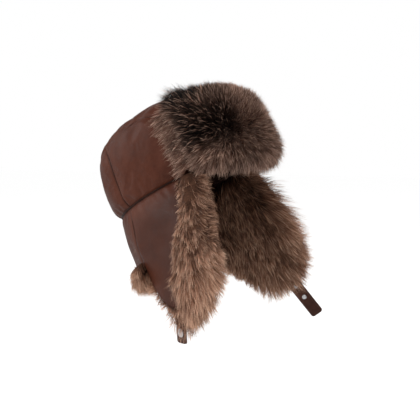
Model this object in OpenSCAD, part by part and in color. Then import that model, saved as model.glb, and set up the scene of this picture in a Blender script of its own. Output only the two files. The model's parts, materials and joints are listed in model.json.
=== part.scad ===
// Trapper hat: padded leather crown, fur visor, fur-lined ear and neck flaps, snap chin straps.
// Millimetres, +Z up as worn, front towards -Y, wearer's left at +X.
// The crown and the flaps are drawn upright on the brim plane, then tilted back as the hat sits on a head.
// The origin is the centre of the head opening, on the seam between the crown and the flaps.

/* [Crown] */
// Length of the crown outside, front to back
crown_len = 222; // [210:1:236]
// Width of the crown outside, side to side
crown_w = 180; // [170:1:192]
// Height of the crown above the brim seam
crown_h = 114; // [106:1:124]
// How square the crown's profile is: 2 is an ellipse
crown_n = 3.8; // [2.8:0.1:4.2]
// Share by which the crown is drawn in at the brim seam
rim_tuck = 0.06; // [0.03:0.01:0.08]
// Half width of the centre panel at the front and over the top
centre_half = 72; // [68:1:74]
// Half width that the centre panel narrows to at the back of the brim
back_half = 24; // [20:1:30]
// Backward tilt of the hat as worn, in degrees
hat_tilt = 28; // [20:1:32]

/* [Layers] */
// Thickness of the leather
leather_t = 1.6; // [1.2:0.1:2]
// Thickness of the crown padding
padding_t = 6; // [4:0.5:7]
// Thickness of the quilted lining
lining_t = 1.2; // [0.8:0.1:1.6]
// Thickness of the interlining in the flaps
interlining_t = 3; // [2:0.5:3.2]
// Thickness of the fur lining, pelt and pressed pile together
fur_t = 13; // [10:1:16]
// Thickness of the fur roll on the outside of the hems
trim_t = 13; // [10:1:16]
// Thickness of the fur on the visor
visor_fur_t = 24; // [18:1:28]

/* [Flaps] */
// Depth of the neck flap below the brim seam
neck_depth = 84; // [74:1:94]
// Depth of the ear flaps below the brim seam
ear_depth = 158; // [140:1:170]
// Outward flare of the ear flaps for each millimetre of depth
ear_flare_out = 0.37; // [0.3:0.01:0.4]
// Width of the fur roll that shows on the leather side of an ear flap
trim_w = 28; // [20:1:32]
// How far the fur reaches past the hems
fur_reach = 8; // [5:1:10]

/* [Visor] */
// Height of the visor
visor_h = 86; // [76:1:92]
// Angle from the middle of the visor to each end
visor_half_angle = 60; // [54:1:62]

/* [Straps] */
// Width of the chin straps
strap_w = 19; // [16:1:22]
// Free length of the left chin strap
left_strap_len = 68; // [60:1:76]
// Free length of the right chin strap
right_strap_len = 30; // [26:1:50]
// Thickness of each of the two plies of a strap
ply_t = 1.3; // [1:0.1:1.4]
// Radius of the post that the snap closes on
stud_r = 2; // [1.8:0.1:2.2]

/* [Hidden] */

leather = [0.33, 0.20, 0.16];
fur_brown = [0.36, 0.25, 0.18];
fur_dark = [0.16, 0.11, 0.08];
cloth = [0.20, 0.14, 0.12];
felt = [0.45, 0.40, 0.34];
steel = [0.78, 0.78, 0.80];

gap = 0.2;                          // between the parts of a strap
layer_gap = 0.5;                    // between layers of a flap or of the crown
half_l = crown_len / 2;
half_w = crown_w / 2;
tuck_h = 18;                        // height over which the crown is drawn in
rim_k = 1 - rim_tuck;               // size of the brim seam beside the crown's widest ring
panel_gap = 0.4;                    // between neighbouring panels

pad_out = -leather_t - layer_gap;         // offsets from the leather's outer face, inwards
pad_in = pad_out - padding_t;
lining_out = pad_in - layer_gap;
lining_in = lining_out - lining_t;
band_h = 32;                        // sweatband height
band_t = 1.4;

ear_front = -60;                    // an ear flap's front and rear edges, as places along the brim
ear_rear = 50;
ear_mid = -2;                       // where an ear flap is deepest
front_power = 2.6;                  // roundness of an ear flap's lower outline, before its deepest place
rear_power = 1.6;                   // and behind it
ear_curl = 0.0005;                  // how an ear flap curls back in as it goes down
brim_swell = 6;                     // how far the flaps stand out just below the brim seam
neck_lean = 0.09;                   // how the neck flap leans in for each millimetre of depth
side_gap = 1;                       // from the plane between the neck flap and an ear flap to each of them
inter_out = -leather_t - layer_gap;
inter_in = inter_out - interlining_t;
fur_out = inter_in - layer_gap;
fur_in = fur_out - fur_t;

gusset_turn = 42;                   // degrees of the brim that a rear gusset takes up

visor_gap = 4;                      // between the crown and the visor
stiffener_t = 2.5;
visor_lean = 0.04;                  // how far the visor leans in over its height
visor_fur_out = visor_gap + leather_t + stiffener_t + 2 * gap;

left_place = -20;                   // where the straps leave the ear flaps, along the brim
right_place = 12;
left_hang = -8;                     // turn of a strap in its own plane, positive towards the rear
right_hang = 26;
strap_drop = 11;                    // hinge of a strap below its flap's hem
anchor_in = 13;                     // sewn-in length of a strap
strap_layer = -3.9;                 // middle of the strap, from the leather's outer face
snap_pitch = 20.5;                  // between the two studs
first_snap = 15;                    // from the strap's hinge to its first snap
flange_r = 3.4;
cap_r = 5.6;

// ---- profile of the crown ----

// Radius and height of the crown's unit profile at angle th, 0 at the brim and 90 at the top
function profile(th) =
    let (d = pow(pow(cos(th), crown_n) + pow(sin(th), crown_n), -1 / crown_n))
    [cos(th) * d, sin(th) * d];
function profile_angle(r) = atan2(pow(1 - pow(r, crown_n), 1 / crown_n), r);
function tuck(z) = 1 - rim_tuck * pow(max(0, 1 - z / tuck_h), 2);

// A point of the crown at unit place (ux, uy), level th, offset o from the outer face
function crown_at(ux, uy, uz, o) =
    let (z = (crown_h + o) * uz, k = tuck(z))
    [(half_w + o) * k * ux, (half_l + o) * k * uy, z];
function crown_round(t, th, o) =
    let (p = profile(th)) crown_at(p[0] * cos(t), p[0] * sin(t), p[1], o);

// Half width of the centre panel at unit place q behind the middle of the crown, as a share of the crown's
front_ratio = centre_half / half_w;
function seam_ratio(q) = (centre_half - (centre_half - back_half) * pow(max(0, q), 2.2)) / half_w;
// Unit place behind the middle where the share e of the centre panel's half width lies at radius r
function back_place(e, r, low = 0, high = 1, steps = 20) =
    let (q = (low + high) / 2, w = e * seam_ratio(q))
    steps == 0 ? q
    : w * w + q * q > r * r ? back_place(e, r, low, q, steps - 1)
    : back_place(e, r, q, high, steps - 1);

// Angles round the crown, at level th, of the seams on the left side of the centre panel
function front_seam(th) = -acos(min(1, front_ratio / profile(th)[0]));
function rear_seam(th) = let (q = back_place(1, profile(th)[0])) atan2(q, seam_ratio(q));
top_level = profile_angle(front_ratio * 1.02);
gusset_top = top_level - 2;         // profile angle at which a gusset ends in a point
function gusset_width(th) = max(0.5, gusset_turn * (1 - pow(th / gusset_top, 6)));

// Centre strip over the top: u across, v from the front brim over the top to the back brim
function centre_strip(u, v, o) =
    let (
        e = (2 * u - 1) * (centre_half - panel_gap) / centre_half,
        q = 2 * v - 1,
        th = profile_angle(max(abs(e) * front_ratio, 0.02)) * pow(cos(90 * q), 2),
        p = profile(th),
        back = back_place(abs(e), p[0]),
        ux = e * (q > 0 ? seam_ratio(back) : front_ratio),
        uy = q > 0 ? back : -sqrt(max(0, p[0] * p[0] - ux * ux))
    )
    crown_at(ux, abs(q) < 0.001 ? 0 : uy, p[1], o);

// Left side panel: u from its rear edge to its front edge, v from the brim up
function side_panel(u, v, o, gusset) =
    let (
        th = top_level * pow(v, 1.3),
        rear = rear_seam(th) - (gusset && th < gusset_top ? gusset_width(th) : 0),
        front = front_seam(th)
    )
    crown_round(rear + (front - rear) * u - 0.4 * (1 - 2 * u), th, o);

// Left rear gusset: u from the centre panel to the side panel, v from the brim to its point
function rear_gusset(u, v, o) =
    let (th = gusset_top * pow(v, 1.3), edge = rear_seam(th))
    crown_round(edge - 0.2 - (gusset_width(th) - 0.4) * u, th, o);

// ---- flaps, on the left side ----

function ear_drop(g) =
    let (
        x = g > ear_mid ? (g - ear_mid) / (ear_rear - ear_mid) : (ear_mid - g) / (ear_mid - ear_front + 4),
        power = g > ear_mid ? rear_power : front_power
    )
    neck_depth + (ear_depth - neck_depth) * pow(1 - pow(min(1, x), power), 0.6);
function ear_flare(g) = ear_flare_out - 0.0022 * g;
function swell(h) = brim_swell * (1 - exp(-h / 20));
function brim_normal(x, y) =
    let (n = [x / (half_w * half_w), y / (half_l * half_l), 0]) n / norm(n);

// A point of the left ear flap at place g along the brim and depth h, offset o from its outer face
function ear_at(g, h, o) =
    let (x = half_w * rim_k * sqrt(1 - pow(g / (half_l * rim_k), 2)))
    [x + ear_flare(g) * h - ear_curl * h * h, g, -h] + (o + swell(h)) * brim_normal(x, g);

rear_angle = asin(ear_rear / (half_l * rim_k));

// A point of the neck flap at angle t round the brim and depth h
function neck_at(t, h, o) =
    let (
        x = half_w * rim_k * cos(t), y = half_l * rim_k * sin(t),
        side = cos(t) / cos(rear_angle)
    )
    [x + side * (ear_flare(ear_rear) * h - ear_curl * h * h), y - (1 - side * side) * neck_lean * h, -h]
    + (o + swell(h)) * brim_normal(x, y);

// A point on the visor at angle t, height z, offset o from the crown's outer face
function visor_at(t, z, o) =
    let (k = 1 - visor_lean * pow(max(0, z) / visor_h, 2))
    [(half_w * k + o) * cos(t), (half_l * k + o) * sin(t), z];
// Height of the visor's top edge, lower at its ends, and of its fur's lower edge, higher at its ends
function visor_top(t) = visor_h - 12 * pow(abs(t + 90) / visor_half_angle, 6);
function visor_fur_low(t) = 3 - 15 * cos(min(90, 100 * abs(t + 90) / visor_half_angle));

// ---- solids from two sheets ----

function flip(tris) = [for (f = tris) [f[0], f[2], f[1]]];

// A closed solid between two sheets, each a function of (u, v) from 0 to 1
module sheet_pair(outer, inner, nu, nv) {
    row = nv + 1;
    count = (nu + 1) * row;
    points = concat(
        [for (i = [0:nu]) for (j = [0:nv]) outer(i / nu, j / nv)],
        [for (i = [0:nu]) for (j = [0:nv]) inner(i / nu, j / nv)]
    );
    top = [for (i = [0:nu - 1]) for (j = [0:nv - 1]) let (k = i * row + j)
        each [[k, k + 1, k + row], [k + 1, k + row + 1, k + row]]];
    bottom = [for (f = flip(top)) [f[0] + count, f[1] + count, f[2] + count]];
    ends = [for (j = [0:nv - 1]) let (a = j, b = nu * row + j)
        each [[a, a + count, a + 1], [a + 1, a + count, a + count + 1],
              [b, b + 1, b + count], [b + 1, b + count + 1, b + count]]];
    sides = [for (i = [0:nu - 1]) let (a = i * row, b = i * row + nv)
        each [[a, a + row, a + count], [a + row, a + row + count, a + count],
              [b, b + count, b + row], [b + row, b + count, b + row + count]]];
    polyhedron(points = points, faces = concat(top, bottom, ends, sides), convexity = 6);
}

module worn() { rotate([-hat_tilt, 0, 0]) children(); }
module right_side() { mirror([1, 0, 0]) children(); }

// ---- crown ----

module centre_layer(o_out, o_in) {
    sheet_pair(
        function(u, v) centre_strip(u, v, o_out), function(u, v) centre_strip(u, v, o_in), 12, 36
    );
}

module side_layer(o_out, o_in, gusset, nu, nv) {
    sheet_pair(
        function(u, v) side_panel(1 - u, v, o_out, gusset),
        function(u, v) side_panel(1 - u, v, o_in, gusset), nu, nv
    );
}

module gusset_layer() {
    sheet_pair(
        function(u, v) rear_gusset(1 - u, v, 0), function(u, v) rear_gusset(1 - u, v, -leather_t), 10, 24
    );
}

module crown_centre_panel() { color(leather) worn() centre_layer(0, -leather_t); }
module crown_left_panel() { color(leather) worn() side_layer(0, -leather_t, true, 20, 24); }
module crown_right_panel() { color(leather) worn() right_side() side_layer(0, -leather_t, true, 20, 24); }
module crown_left_rear_gusset() { color(leather) worn() gusset_layer(); }
module crown_right_rear_gusset() { color(leather) worn() right_side() gusset_layer(); }

module crown_padding_centre() { color(felt) worn() centre_layer(pad_out, pad_in); }
module crown_padding_left() { color(felt) worn() side_layer(pad_out, pad_in, false, 16, 13); }
module crown_padding_right() { color(felt) worn() right_side() side_layer(pad_out, pad_in, false, 16, 13); }

module crown_lining_centre() { color(cloth) worn() centre_layer(lining_out, lining_in); }
module crown_lining_left() { color(cloth) worn() side_layer(lining_out, lining_in, false, 16, 13); }
module crown_lining_right() { color(cloth) worn() right_side() side_layer(lining_out, lining_in, false, 16, 13); }

// A leather band round the inside of the opening, its ends butted at the centre back
module sweatband() {
    lift = 1;
    inset = lining_in - 2 * layer_gap;
    band = function(u, v, o)
        let (z = lift + v * band_h, k = tuck(z), t = 90.2 + 359.6 * (1 - u))
        [(half_w + o) * k * cos(t), (half_l + o) * k * sin(t), z];
    color(leather) worn()
        sheet_pair(function(u, v) band(u, v, inset), function(u, v) band(u, v, inset - band_t), 48, 5);
}

// ---- neck flap ----

neck_start = rear_angle + 0.7 * side_gap;
neck_span = 180 - 2 * neck_start;

module neck_layer(o_out, o_in, h_top, h_end) {
    at = function(u, v, o) neck_at(neck_start + neck_span * u, h_top + (h_end - h_top) * pow(v, 1.3), o);
    sheet_pair(
        function(u, v) at(u, v, o_out), function(u, v) at(u, v, o_in), 20, 7
    );
}

module neck_flap_leather() { color(leather) worn() neck_layer(0, -leather_t, 0.5, neck_depth); }
module neck_flap_interlining() {
    color(felt) worn() neck_layer(inter_out, inter_in, 3, neck_depth - 8);
}
module neck_flap_fur() {
    color(fur_brown) worn() neck_layer(fur_out, fur_in, 2, neck_depth + fur_reach);
}

// A roll of fur on the outside of the neck flap's hem
module neck_flap_fur_trim() {
    width = trim_w * 0.3;
    height = function(v) 1 + (0.6 * trim_t - 1) * sqrt(max(0, 1 - pow(2 * v - 1, 4)));
    depth = function(v) neck_depth - width + (width + fur_reach) * v;
    color(fur_brown) worn() sheet_pair(
        function(u, v) neck_at(neck_start + neck_span * u, depth(v), layer_gap + height(v)),
        function(u, v) neck_at(neck_start + neck_span * u, depth(v), layer_gap), 20, 5
    );
}

// ---- ear flaps ----

module ear_layer(o_out, o_in, front, rear, h_top, reach) {
    at = function(u, v, o)
        let (g = rear + (front - rear) * u, c = max(ear_front, min(ear_rear, g)))
        ear_at(g, h_top + (ear_drop(c) + reach - h_top) * pow(v, 1.2), o);
    sheet_pair(function(u, v) at(1 - u, v, o_out), function(u, v) at(1 - u, v, o_in), 14, 11);
}

module ear_leather() { ear_layer(0, -leather_t, ear_front, ear_rear - side_gap, 0.5, 0); }
module ear_interlining() {
    ear_layer(inter_out, inter_in, ear_front + 6, ear_rear - 3, 3, -anchor_in - 2);
}
module ear_fur() {
    ear_layer(fur_out, fur_in, ear_front - fur_reach, ear_rear - side_gap, 2, fur_reach);
}

// Outline of the ear flap's free edges, from the top of the front edge round to the rear, as [place, depth]
function ear_edge(q) =
    let (corner = 0.42, drop = ear_drop(ear_front))
    q < corner ? [ear_front, 4 + (drop - 4) * q / corner]
    : let (g = ear_front + (ear_rear - side_gap - ear_front) * (q - corner) / (1 - corner))
        [g, ear_drop(g)];
// Unit direction out across the edge
function ear_outwards(q) =
    let (
        before = ear_edge(max(0, q - 0.12)), after = ear_edge(min(1, q + 0.12)),
        way = [before[1] - after[1], after[0] - before[0]]
    )
    way / norm(way);
// The roll narrows towards the rear, where the leather's hem is bare
function trim_share(q) = 1 - 0.85 * pow(max(0, (q - 0.5) / 0.5), 1.5);

// A roll of fur on the outside of the front edge and the hem
module ear_trim() {
    height = function(u, v)
        1 + (trim_t * trim_share(u) - 1) * sqrt(max(0, 1 - pow(2 * v - 1, 4)));
    at = function(u, v, o)
        let (e = ear_edge(u), w = ear_outwards(u), k = trim_share(u),
             s = k * (-trim_w + (trim_w + fur_reach) * v),
             g = min(ear_rear - side_gap, e[0] + s * w[0]), h = max(3, e[1] + s * w[1]))
        ear_at(g, h, o);
    sheet_pair(
        function(u, v) at(u, v, layer_gap + height(u, v)), function(u, v) at(u, v, layer_gap), 28, 5
    );
}

module left_flap_leather() { color(leather) worn() ear_leather(); }
module left_flap_interlining() { color(felt) worn() ear_interlining(); }
module left_flap_fur() { color(fur_brown) worn() ear_fur(); }
module left_flap_fur_trim() { color(fur_brown) worn() ear_trim(); }
module right_flap_leather() { color(leather) worn() right_side() ear_leather(); }
module right_flap_interlining() { color(felt) worn() right_side() ear_interlining(); }
module right_flap_fur() { color(fur_brown) worn() right_side() ear_fur(); }
module right_flap_fur_trim() { color(fur_brown) worn() right_side() ear_trim(); }

// ---- visor ----

module visor_layer(o_out, o_in, z_low, z_trim, turn_trim) {
    half = visor_half_angle - turn_trim;
    at = function(u, v, o)
        let (t = -90 + half * (2 * u - 1)) visor_at(t, z_low + (visor_top(t) - z_trim - z_low) * v, o);
    sheet_pair(function(u, v) at(1 - u, 1 - v, o_out), function(u, v) at(1 - u, 1 - v, o_in), 16, 5);
}

module visor_backing() {
    color(leather) worn() visor_layer(visor_gap + leather_t, visor_gap, 1, 0, 0);
}
module visor_stiffener() {
    color(felt) worn() visor_layer(visor_fur_out - gap, visor_gap + leather_t + gap, 6, 6, 3);
}
module visor_fur() {
    half = visor_half_angle + 1.5;
    round_ends = function(u) pow(max(0, 1 - pow(2 * u - 1, 8)), 0.4);
    round_edges = function(v) pow(max(0, 1 - pow(2 * v - 1, 4)), 0.5);
    height = function(u, v) 1 + (visor_fur_t - 1) * round_ends(u) * round_edges(v);
    at = function(u, v, o)
        let (
            t = -90 + half * (2 * u - 1), low = visor_fur_low(t), top = visor_top(-90 + 0.95 * (t + 90)) + 9
        )
        visor_at(t, low + (top - low) * v, o);
    color(fur_dark) worn() sheet_pair(
        function(u, v) at(1 - u, 1 - v, visor_fur_out + height(u, v)),
        function(u, v) at(1 - u, 1 - v, visor_fur_out), 18, 8
    );
}

// ---- chin straps ----

// Puts a strap's own frame at its left-side hinge: -Z down the strap, Y across it, +X outwards
module at_hinge(place, hang) {
    depth = ear_drop(place) + strap_drop;
    up = ear_at(place, depth - 1, 0) - ear_at(place, depth + 1, 0);
    along = ear_at(place + 1, depth, 0) - ear_at(place - 1, depth, 0);
    z_axis = up / norm(up);
    out = cross(along, up);
    x_axis = out / norm(out);
    y_axis = cross(z_axis, x_axis);
    spot = ear_at(place, depth, strap_layer);
    worn() translate(spot)
        rotate([atan2(y_axis[2], z_axis[2]), -asin(x_axis[2]), atan2(x_axis[1], x_axis[0])])
        rotate([hang, 0, 0]) children();
}
module left_hinge() { at_hinge(left_place, left_hang) children(); }
module right_hinge() { right_side() at_hinge(right_place, right_hang) children(); }

// One ply, from the hinge down, with round holes for the snaps
module ply(length, x0, holes, hole_r) {
    corner = 4;
    difference() {
        translate([x0, 0, 0]) rotate([90, 0, 90]) linear_extrude(ply_t) union() {
            translate([-strap_w / 2, -length + corner]) square([strap_w, length - corner]);
            translate([-strap_w / 2 + corner, -length]) square([strap_w - 2 * corner, corner]);
            for (s = [-1, 1])
                translate([s * (strap_w / 2 - corner), -length + corner]) circle(corner, $fn = 48);
        }
        for (z = holes) translate([x0 - 1, 0, -z]) rotate([0, 90, 0])
            cylinder(h = ply_t + 2, r = hole_r, $fn = 48);
    }
}

// The sewn-in end, pressed thinner than the two plies
module strap_anchor() {
    thick = 1.2 * ply_t;
    width = strap_w - 3;
    clear = 1.6;
    translate([-thick / 2, -width / 2, clear]) cube([thick, width, strap_drop + anchor_in - 4 - clear]);
}

// Half of a turned snap part: points are [radius, height]
module turned(outline) { rotate([0, 90, 0]) rotate_extrude($fn = 64) polygon(outline); }

post_hole_r = 1.6;
// A post with a broad head on one face of the strap; its shank passes through both plies
module snap_post(head_r) {
    head_h = 0.9;
    turned([[0, ply_t + gap], [head_r - 0.4, ply_t + gap], [head_r, ply_t + gap + 0.3],
            [head_r - 0.5, ply_t + gap + head_h], [0, ply_t + gap + head_h + 0.4]]);
    rotate([0, 90, 0]) translate([0, 0, -ply_t - 0.1])
        cylinder(h = 2 * ply_t + gap + 0.2, r = post_hole_r - 0.05, $fn = 48);
}

// A stud: flange on the strap and a cylindrical post with a rounded end, towards -X
module snap_stud() {
    base = ply_t + gap;
    mirror([1, 0, 0]) turned([
        [0, base], [flange_r, base], [flange_r, base + 0.5], [flange_r - 0.5, base + 0.9],
        [stud_r, base + 0.9], [stud_r, base + 2.9], [stud_r - 0.4, base + 3.3], [0, base + 3.3]
    ]);
}

// A socket: a ring with a rolled rim that takes a stud, towards -X
module snap_ring() {
    base = ply_t + gap;
    mirror([1, 0, 0]) turned([
        [0, base], [flange_r, base], [flange_r + 0.4, base + 0.6], [flange_r + 0.4, base + 2.2],
        [flange_r, base + 2.8], [stud_r + 0.6, base + 2.8], [stud_r + 0.15, base + 2.4],
        [stud_r + 0.15, base + 0.6], [0, base + 0.6]
    ]);
}

left_snaps = [first_snap, first_snap + snap_pitch];
right_snaps = [right_strap_len - 13];

module outer_ply(length, snaps) { ply(length, gap / 4, snaps, post_hole_r); }
module inner_ply(length, snaps) { ply(length, -ply_t - gap / 4, snaps, post_hole_r); }
module at_each(snaps) { for (z = snaps) translate([0, 0, -z]) children(); }

module left_strap_anchor() { color(leather) left_hinge() strap_anchor(); }
module left_strap_outer_ply() { color(leather) left_hinge() outer_ply(left_strap_len, left_snaps); }
module left_strap_inner_ply() { color(leather) left_hinge() inner_ply(left_strap_len, left_snaps); }
module left_snap_studs() { color(steel) left_hinge() at_each(left_snaps) snap_stud(); }
module left_snap_posts() { color(steel) left_hinge() at_each(left_snaps) snap_post(cap_r - 1); }

module right_strap_anchor() { color(leather) right_hinge() strap_anchor(); }
module right_strap_outer_ply() { color(leather) right_hinge() outer_ply(right_strap_len, right_snaps); }
module right_strap_inner_ply() { color(leather) right_hinge() inner_ply(right_strap_len, right_snaps); }
module right_snap_socket() { color(steel) right_hinge() at_each(right_snaps) snap_ring(); }
module right_snap_cap() { color(steel) right_hinge() at_each(right_snaps) snap_post(cap_r); }

crown_centre_panel();
crown_right_panel();
crown_left_panel();
crown_right_rear_gusset();
crown_left_rear_gusset();
crown_padding_centre();
crown_padding_right();
crown_padding_left();
crown_lining_centre();
crown_lining_right();
crown_lining_left();
sweatband();
neck_flap_leather();
neck_flap_interlining();
neck_flap_fur();
neck_flap_fur_trim();
right_flap_leather();
right_flap_interlining();
right_flap_fur();
right_flap_fur_trim();
left_flap_leather();
left_flap_interlining();
left_flap_fur();
left_flap_fur_trim();
visor_backing();
visor_stiffener();
visor_fur();
left_strap_anchor();
left_strap_outer_ply();
left_strap_inner_ply();
left_snap_studs();
left_snap_posts();
right_strap_anchor();
right_strap_outer_ply();
right_strap_inner_ply();
right_snap_socket();
right_snap_cap();
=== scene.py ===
import json
import math

import bpy
import numpy as np
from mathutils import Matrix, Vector
from mathutils.kdtree import KDTree

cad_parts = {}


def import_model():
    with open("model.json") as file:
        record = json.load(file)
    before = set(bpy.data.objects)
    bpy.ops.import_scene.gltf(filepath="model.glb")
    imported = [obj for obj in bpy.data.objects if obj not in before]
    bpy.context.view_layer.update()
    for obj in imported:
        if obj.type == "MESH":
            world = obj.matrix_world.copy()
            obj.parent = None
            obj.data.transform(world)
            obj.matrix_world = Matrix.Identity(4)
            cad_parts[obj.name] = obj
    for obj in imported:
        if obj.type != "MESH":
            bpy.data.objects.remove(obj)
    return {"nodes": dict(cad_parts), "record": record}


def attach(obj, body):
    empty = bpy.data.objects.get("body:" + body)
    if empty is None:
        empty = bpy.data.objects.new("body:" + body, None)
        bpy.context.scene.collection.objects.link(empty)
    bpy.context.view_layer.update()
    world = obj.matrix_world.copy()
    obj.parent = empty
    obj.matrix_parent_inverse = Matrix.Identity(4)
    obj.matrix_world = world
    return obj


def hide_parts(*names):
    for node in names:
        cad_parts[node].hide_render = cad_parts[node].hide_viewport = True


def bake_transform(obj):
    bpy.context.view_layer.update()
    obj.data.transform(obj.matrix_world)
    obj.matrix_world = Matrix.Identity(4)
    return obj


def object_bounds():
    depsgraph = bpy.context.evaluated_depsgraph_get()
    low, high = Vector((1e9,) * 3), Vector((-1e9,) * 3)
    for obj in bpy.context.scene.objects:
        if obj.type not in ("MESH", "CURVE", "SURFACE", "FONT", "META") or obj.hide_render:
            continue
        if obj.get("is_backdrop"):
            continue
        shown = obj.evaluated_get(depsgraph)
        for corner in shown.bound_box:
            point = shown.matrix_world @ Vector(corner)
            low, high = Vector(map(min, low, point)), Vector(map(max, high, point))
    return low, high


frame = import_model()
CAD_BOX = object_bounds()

# ---------------- the hat's own frame
# Shapes are worked out in millimetres on the brim plane, as the part is, then tilted into the row's frame.

record = frame["record"]
joints = {j["name"]: j for j in record["behaviour"]["joints"]}
mounts = {m["name"]: m for m in record["mounts"]}
DOWN = np.array(mounts["head_opening"]["axis"], float)
TILT = math.atan2(-DOWN[1], -DOWN[2])

HALF_L, HALF_W, CROWN_H, CROWN_N = 111.0, 90.0, 114.0, 3.8
RIM_TUCK, TUCK_H, CENTRE_HALF, BACK_HALF = 0.06, 18.0, 72.0, 24.0
RIM_K = 1 - RIM_TUCK
NECK_DEPTH, EAR_DEPTH = 84.0, 158.0
EAR_FRONT, EAR_REAR, EAR_MID = -60.0, 50.0, -2.0
VISOR_H, VISOR_HALF, FRONT = 86.0, math.radians(60), -math.pi / 2
GRAVITY = np.array([0, math.sin(TILT), -math.cos(TILT)])
SIDES = (("left", False), ("right", True))


def world(p):
    """Millimetres in the hat's frame to metres in the row's frame."""
    p = np.asarray(p, float) * 0.001
    c, s = math.cos(TILT), math.sin(TILT)
    return np.stack([p[..., 0], p[..., 1] * c + p[..., 2] * s, -p[..., 1] * s + p[..., 2] * c], -1)


def hat(p):
    """Metres in the row's frame to millimetres in the hat's frame."""
    p = np.asarray(p, float) * 1000
    c, s = math.cos(TILT), math.sin(TILT)
    return np.stack([p[..., 0], p[..., 1] * c - p[..., 2] * s, p[..., 1] * s + p[..., 2] * c], -1)


def unit(v):
    return v / np.maximum(np.linalg.norm(v, axis=-1, keepdims=True), 1e-9)


def smooth(x, a, b):
    t = np.clip((x - a) / (b - a), 0, 1)
    return t * t * (3 - 2 * t)


def pillow(x, power):
    """A rounded hump over 0 to 1 that is flat in the middle and falls to 0 at both ends."""
    return np.clip(1 - np.abs(2 * x - 1) ** power, 0, 1) ** 0.5


def ridge(x, middle, width):
    return np.exp(-((x - middle) / width) ** 2)


def waves(p, seed, size, count=14):
    """A smooth random field over points p, about -1 to 1, with features of the given size in millimetres."""
    rng = np.random.default_rng(seed)
    way = unit(rng.normal(size=(count, 3)))
    k = 2 * math.pi / (size * rng.uniform(0.6, 1.6, count))
    return np.sin((p @ way.T) * k + rng.uniform(0, 6.28, count)).sum(-1) / math.sqrt(count)


# ---------------- surfaces

def profile(th):
    c, s = np.clip(np.cos(th), 0, 1), np.sin(th)
    d = (c ** CROWN_N + s ** CROWN_N) ** (-1 / CROWN_N)
    return c * d, s * d


def profile_angle(r):
    return np.arctan2((1 - r ** CROWN_N) ** (1 / CROWN_N), r)


def tuck(z):
    """How far the crown is drawn in towards the brim, as a share of its size."""
    return 1 - RIM_TUCK * np.clip(1 - z / TUCK_H, 0, None) ** 2


def crown_at(ux, uy, uz, o):
    z = (CROWN_H + o) * uz
    k = tuck(z)
    return np.stack([(HALF_W + o) * k * ux, (HALF_L + o) * k * uy, z], -1)


FRONT_RATIO = CENTRE_HALF / HALF_W
TOP_LEVEL = profile_angle(FRONT_RATIO * 1.005)
GUSSET_TOP = profile_angle(FRONT_RATIO * 1.02) - math.radians(2)


def seam_ratio(q):
    """Half width of the centre panel at unit place q behind the middle, as a share of the crown's."""
    return (CENTRE_HALF - (CENTRE_HALF - BACK_HALF) * np.maximum(q, 0) ** 2.2) / HALF_W


def back_place(e, r):
    """Unit place behind the middle where the share e of the centre panel's half width lies at radius r."""
    low, high = 0.0 * (e + r), 1 + 0.0 * (e + r)
    for _ in range(26):
        q = (low + high) / 2
        past = (e * seam_ratio(q)) ** 2 + q * q > r * r
        low, high = np.where(past, low, q), np.where(past, q, high)
    return (low + high) / 2


def front_seam(th):
    return -np.arccos(np.clip(FRONT_RATIO / np.maximum(profile(th)[0], 1e-6), -1, 1))


def rear_seam(th):
    q = back_place(1.0, profile(th)[0])
    return np.arctan2(q, seam_ratio(q))


def centre_strip(u, v, o):
    e, q = 2 * u - 1, 2 * v - 1
    th = profile_angle(np.maximum(np.abs(e) * FRONT_RATIO, 0.004)) * np.cos(np.radians(90 * q)) ** 1.6
    r, z = profile(th)
    back = back_place(np.abs(e), r)
    ux = e * np.where(q > 0, seam_ratio(back), FRONT_RATIO)
    return crown_at(ux, np.where(q > 0, back, -np.sqrt(np.clip(r * r - ux * ux, 0, None))), z, o)


def gusset_width(th):
    return np.maximum(math.radians(0.3), math.radians(42) * (1 - (th / GUSSET_TOP) ** 6))


def side_panel(u, v, o, gusset=True):
    """A side of the crown, less the rear gusset's share of it unless gusset is false."""
    th = TOP_LEVEL * v ** 1.2
    rear = rear_seam(th)
    if gusset:
        rear = rear - np.where(th < GUSSET_TOP, gusset_width(np.minimum(th, GUSSET_TOP)), 0)
    r, z = profile(th)
    t = rear + (front_seam(th) - rear) * u
    return crown_at(r * np.cos(t), r * np.sin(t), z, o)


def rear_gusset(u, v, o):
    th = GUSSET_TOP * v ** 1.2
    r, z = profile(th)
    t = rear_seam(th) - gusset_width(th) * u
    return crown_at(r * np.cos(t), r * np.sin(t), z, o)


def brim_normal(x, y):
    return unit(np.stack([x / HALF_W ** 2, y / HALF_L ** 2, 0 * x], -1))


def ear_drop(g):
    rear = np.clip((g - EAR_MID) / (EAR_REAR - EAR_MID), 0, 1) ** 1.6
    front = np.clip((EAR_MID - g) / (EAR_MID - EAR_FRONT + 4), 0, 1) ** 2.6
    return NECK_DEPTH + (EAR_DEPTH - NECK_DEPTH) * (1 - np.where(g > EAR_MID, rear, front)) ** 0.6


def ear_flare(g):
    return 0.37 - 0.0022 * g


def swell(h):
    return 6.0 * (1 - np.exp(-np.maximum(h, 0) / 20))


def ear_at(g, h, o):
    """The left ear flap's outer face at place g along the brim and depth h, offset o outwards."""
    x = HALF_W * RIM_K * np.sqrt(np.clip(1 - (g / (HALF_L * RIM_K)) ** 2, 0, 1))
    base = np.stack([x + ear_flare(g) * h - 0.0005 * h * h, g + 0 * h, -h + 0 * g], -1)
    return base + np.expand_dims(o + swell(h), -1) * brim_normal(x + 0 * h, g + 0 * h)


REAR_ANGLE = math.asin(EAR_REAR / (HALF_L * RIM_K))


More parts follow.
